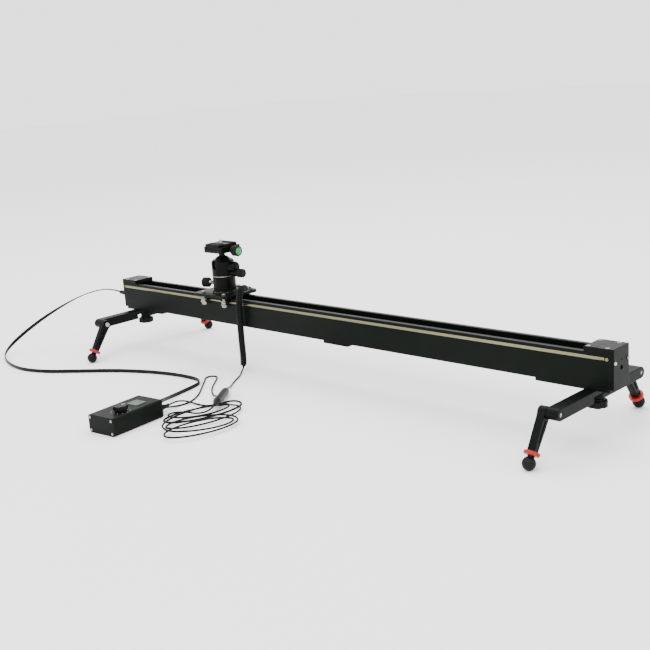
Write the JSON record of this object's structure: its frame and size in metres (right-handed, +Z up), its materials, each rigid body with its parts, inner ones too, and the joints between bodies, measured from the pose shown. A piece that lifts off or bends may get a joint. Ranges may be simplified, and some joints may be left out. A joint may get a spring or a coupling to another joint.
{
  "type": "motorised camera slider",
  "caption": "Motorised camera slider on four folding ball-foot legs, with a carriage, ball head, hand controller and cables.",
  "frame": {"origin": "on the floor, under the middle of the rail's length and width", "axes": "+X along the rail towards the end without the motor, -Y towards the hand controller, +Z up"},
  "size_m": [1.2075, 0.5173, 0.2205],
  "materials": {
    "anodised_black": "satin black anodised",
    "coated_black": "matt black",
    "bright_steel": "polished",
    "black_rubber": "matt",
    "black_plastic": "satin",
    "red_anodised": "satin",
    "cable_black": "satin",
    "display_grey": "satin"
  },
  "bodies": {
    "rail_body": {"rail_extrusion": "anodised_black", "guide_rods": "bright_steel", "end_block_left": "anodised_black", "end_block_right": "anodised_black", "case_screws": "bright_steel", "leg_plates": "anodised_black", "tripod_plate": "anodised_black", "timing_belt": "black_rubber", "gear_motor": "coated_black", "cable_gland": "black_rubber", "controller_case": "anodised_black", "controller_ends": "anodised_black", "display_window": "display_grey", "lead_sockets": "black_plastic", "motor_cable": "cable_black", "shutter_lead": "cable_black", "loop_lead": "cable_black", "loop_lead_hank": "cable_black", "lead_joint": "black_plastic", "coil_tail": "cable_black"},
    "carriage_body": {"carriage_plate": "anodised_black", "roller_bolts": "bright_steel", "head_base": "anodised_black", "coiled_lead": "cable_black", "camera_lead": "cable_black", "camera_plug": "bright_steel"},
    "roller_front_left_body": {"roller_front_left": "bright_steel"},
    "roller_front_right_body": {"roller_front_right": "bright_steel"},
    "roller_back_left_body": {"roller_back_left": "bright_steel"},
    "roller_back_right_body": {"roller_back_right": "bright_steel"},
    "drive_pulley_body": {"drive_pulley": "bright_steel"},
    "idler_pulley_body": {"idler_pulley": "bright_steel"},
    "leg_knob_left_body": {"leg_knob_left": "black_plastic"},
    "leg_knob_right_body": {"leg_knob_right": "black_plastic"},
    "leg_arm_front_left_body": {"leg_arm_front_left": "anodised_black"},
    "lower_leg_front_left_body": {"lower_leg_front_left": "anodised_black"},
    "lock_ring_front_left_body": {"lock_ring_front_left": "red_anodised"},
    "foot_front_left_body": {"foot_front_left": "black_rubber"},
    "leg_arm_back_left_body": {"leg_arm_back_left": "anodised_black"},
    "lower_leg_back_left_body": {"lower_leg_back_left": "anodised_black"},
    "lock_ring_back_left_body": {"lock_ring_back_left": "red_anodised"},
    "foot_back_left_body": {"foot_back_left": "black_rubber"},
    "leg_arm_front_right_body": {"leg_arm_front_right": "anodised_black"},
    "lower_leg_front_right_body": {"lower_leg_front_right": "anodised_black"},
    "lock_ring_front_right_body": {"lock_ring_front_right": "red_anodised"},
    "foot_front_right_body": {"foot_front_right": "black_rubber"},
    "leg_arm_back_right_body": {"leg_arm_back_right": "anodised_black"},
    "lower_leg_back_right_body": {"lower_leg_back_right": "anodised_black"},
    "lock_ring_back_right_body": {"lock_ring_back_right": "red_anodised"},
    "foot_back_right_body": {"foot_back_right": "black_rubber"},
    "head_housing_body": {"head_housing": "anodised_black"},
    "main_lock_knob_body": {"main_lock_knob": "black_rubber"},
    "pan_lock_knob_body": {"pan_lock_knob": "black_rubber"},
    "head_ball_body": {"head_ball": "anodised_black"},
    "clamp_jaw_body": {"clamp_jaw": "anodised_black"},
    "clamp_knob_body": {"clamp_knob": "anodised_black"},
    "camera_plate_body": {"camera_plate": "anodised_black"},
    "camera_screw_body": {"camera_screw": "bright_steel"},
    "speed_knob_body": {"speed_knob": "black_plastic"},
    "clamp_body": {"clamp_body": "anodised_black"}
  },
  "joints": [
    {"name": "carriage_slide", "type": "slide", "parent": "rail_body", "child": "carriage_body", "axis": [1, 0, 0], "range_m": [-0.194, 0.674], "deforming": ["coiled_lead"]},
    {"name": "roller_front_left_spin", "type": "hinge", "parent": "carriage_body", "child": "roller_front_left_body", "pos_m": [-0.267, -0.0275, 0.1168], "axis": [0, 0, 1], "continuous": true},
    {"name": "roller_front_right_spin", "type": "hinge", "parent": "carriage_body", "child": "roller_front_right_body", "pos_m": [-0.213, -0.0275, 0.1168], "axis": [0, 0, 1], "continuous": true},
    {"name": "roller_back_left_spin", "type": "hinge", "parent": "carriage_body", "child": "roller_back_left_body", "pos_m": [-0.267, 0.0275, 0.1168], "axis": [0, 0, 1], "continuous": true},
    {"name": "roller_back_right_spin", "type": "hinge", "parent": "carriage_body", "child": "roller_back_right_body", "pos_m": [-0.213, 0.0275, 0.1168], "axis": [0, 0, 1], "continuous": true},
    {"name": "drive_pulley_spin", "type": "hinge", "parent": "rail_body", "child": "drive_pulley_body", "pos_m": [-0.49, 0, 0.1085], "axis": [0, 0, 1], "continuous": true},
    {"name": "idler_pulley_spin", "type": "hinge", "parent": "rail_body", "child": "idler_pulley_body", "pos_m": [0.49, 0, 0.1085], "axis": [0, 0, 1], "continuous": true},
    {"name": "leg_knob_left_turn", "type": "hinge", "parent": "rail_body", "child": "leg_knob_left_body", "pos_m": [-0.4865, 0, 0.0508], "axis": [0, 0, 1], "continuous": true},
    {"name": "leg_knob_right_turn", "type": "hinge", "parent": "rail_body", "child": "leg_knob_right_body", "pos_m": [0.4865, 0, 0.0508], "axis": [0, 0, 1], "continuous": true},
    {"name": "arm_swing_front_left", "type": "hinge", "parent": "rail_body", "child": "leg_arm_front_left_body", "pos_m": [-0.4865, 0, 0.0647], "axis": [0, 0, 1], "range_deg": [-30, 65]},
    {"name": "knee_front_left", "type": "hinge", "parent": "leg_arm_front_left_body", "child": "lower_leg_front_left_body", "pos_m": [-0.4717, -0.103, 0.0647], "axis": [-1, 0, 0], "range_deg": [-100, 55]},
    {"name": "foot_slide_front_left", "type": "slide", "parent": "lower_leg_front_left_body", "child": "foot_front_left_body", "axis": [0, -0.5533, -0.833], "range_m": [0, 0.012]},
    {"name": "ring_turn_front_left", "type": "hinge", "parent": "lower_leg_front_left_body", "child": "lock_ring_front_left_body", "pos_m": [-0.4717, -0.13299, 0.01955], "axis": [0, -0.5533, -0.833], "continuous": true},
    {"name": "arm_swing_back_left", "type": "hinge", "parent": "rail_body", "child": "leg_arm_back_left_body", "pos_m": [-0.4865, 0, 0.0647], "axis": [0, 0, -1], "range_deg": [-30, 65]},
    {"name": "knee_back_left", "type": "hinge", "parent": "leg_arm_back_left_body", "child": "lower_leg_back_left_body", "pos_m": [-0.4717, 0.103, 0.0647], "axis": [1, 0, 0], "range_deg": [-100, 55]},
    {"name": "foot_slide_back_left", "type": "slide", "parent": "lower_leg_back_left_body", "child": "foot_back_left_body", "axis": [0, 0.5533, -0.833], "range_m": [0, 0.012]},
    {"name": "ring_turn_back_left", "type": "hinge", "parent": "lower_leg_back_left_body", "child": "lock_ring_back_left_body", "pos_m": [-0.4717, 0.13299, 0.01955], "axis": [0, 0.5533, -0.833], "continuous": true},
    {"name": "arm_swing_front_right", "type": "hinge", "parent": "rail_body", "child": "leg_arm_front_right_body", "pos_m": [0.4865, 0, 0.0647], "axis": [0, 0, -1], "range_deg": [-30, 65]},
    {"name": "knee_front_right", "type": "hinge", "parent": "leg_arm_front_right_body", "child": "lower_leg_front_right_body", "pos_m": [0.4717, -0.103, 0.0647], "axis": [-1, 0, 0], "range_deg": [-100, 55]},
    {"name": "foot_slide_front_right", "type": "slide", "parent": "lower_leg_front_right_body", "child": "foot_front_right_body", "axis": [0, -0.5533, -0.833], "range_m": [0, 0.012]},
    {"name": "ring_turn_front_right", "type": "hinge", "parent": "lower_leg_front_right_body", "child": "lock_ring_front_right_body", "pos_m": [0.4717, -0.13299, 0.01955], "axis": [0, -0.5533, -0.833], "continuous": true},
    {"name": "arm_swing_back_right", "type": "hinge", "parent": "rail_body", "child": "leg_arm_back_right_body", "pos_m": [0.4865, 0, 0.0647], "axis": [0, 0, 1], "range_deg": [-30, 65]},
    {"name": "knee_back_right", "type": "hinge", "parent": "leg_arm_back_right_body", "child": "lower_leg_back_right_body", "pos_m": [0.4717, 0.103, 0.0647], "axis": [1, 0, 0], "range_deg": [-100, 55]},
    {"name": "foot_slide_back_right", "type": "slide", "parent": "lower_leg_back_right_body", "child": "foot_back_right_body", "axis": [0, 0.5533, -0.833], "range_m": [0, 0.012]},
    {"name": "ring_turn_back_right", "type": "hinge", "parent": "lower_leg_back_right_body", "child": "lock_ring_back_right_body", "pos_m": [0.4717, 0.13299, 0.01955], "axis": [0, 0.5533, -0.833], "continuous": true},
    {"name": "head_pan", "type": "hinge", "parent": "carriage_body", "child": "head_housing_body", "pos_m": [-0.24, 0, 0.14], "axis": [0, 0, 1], "continuous": true},
    {"name": "main_lock_turn", "type": "hinge", "parent": "head_housing_body", "child": "main_lock_knob_body", "pos_m": [-0.20138, 0.00543, 0.1635], "axis": [0.9903, 0.1392, 0], "range_deg": [-150, 150]},
    {"name": "pan_lock_turn", "type": "hinge", "parent": "head_housing_body", "child": "pan_lock_knob_body", "pos_m": [-0.27101, -0.01129, 0.1445], "axis": [-0.9397, -0.342, 0], "range_deg": [-150, 150]},
    {"name": "ball_tilt", "type": "hinge", "parent": "head_housing_body", "child": "head_ball_body", "pos_m": [-0.24, 0, 0.177], "axis": [1, 0, 0], "range_deg": [-30, 90]},
    {"name": "platform_turn", "type": "hinge", "parent": "head_ball_body", "child": "clamp_body", "pos_m": [-0.24, 0, 0.2025], "axis": [0, 0, 1], "range_deg": [-45, 45]},
    {"name": "jaw_slide", "type": "slide", "parent": "clamp_body", "child": "clamp_jaw_body", "axis": [1, 0, 0], "range_m": [0, 0.003]},
    {"name": "clamp_knob_turn", "type": "hinge", "parent": "clamp_body", "child": "clamp_knob_body", "pos_m": [-0.204, 0, 0.2035], "axis": [1, 0, 0], "range_deg": [-10, 1090]},
    {"name": "camera_plate_slide", "type": "slide", "parent": "clamp_body", "child": "camera_plate_body", "axis": [0, 1, 0], "range_m": [-0.02, 0.02]},
    {"name": "camera_screw_turn", "type": "hinge", "parent": "camera_plate_body", "child": "camera_screw_body", "pos_m": [-0.24, 0, 0.213], "axis": [0, 0, 1], "continuous": true},
    {"name": "speed_dial", "type": "hinge", "parent": "rail_body", "child": "speed_knob_body", "pos_m": [-0.10809, -0.33171, 0.033], "axis": [0, 0, 1], "range_deg": [-140, 140]}
  ],
  "couplings": [
    {"joint": "roller_front_left_spin", "follows": "carriage_slide", "rad_per_m": 196.1},
    {"joint": "roller_front_right_spin", "follows": "carriage_slide", "rad_per_m": 196.1},
    {"joint": "roller_back_left_spin", "follows": "carriage_slide", "rad_per_m": -196.1},
    {"joint": "roller_back_right_spin", "follows": "carriage_slide", "rad_per_m": -196.1},
    {"joint": "drive_pulley_spin", "follows": "carriage_slide", "rad_per_m": 104.72},
    {"joint": "idler_pulley_spin", "follows": "carriage_slide", "rad_per_m": 104.72},
    {"joint": "clamp_knob_turn", "follows": "jaw_slide", "rad_per_m": 6283.2}
  ]
}
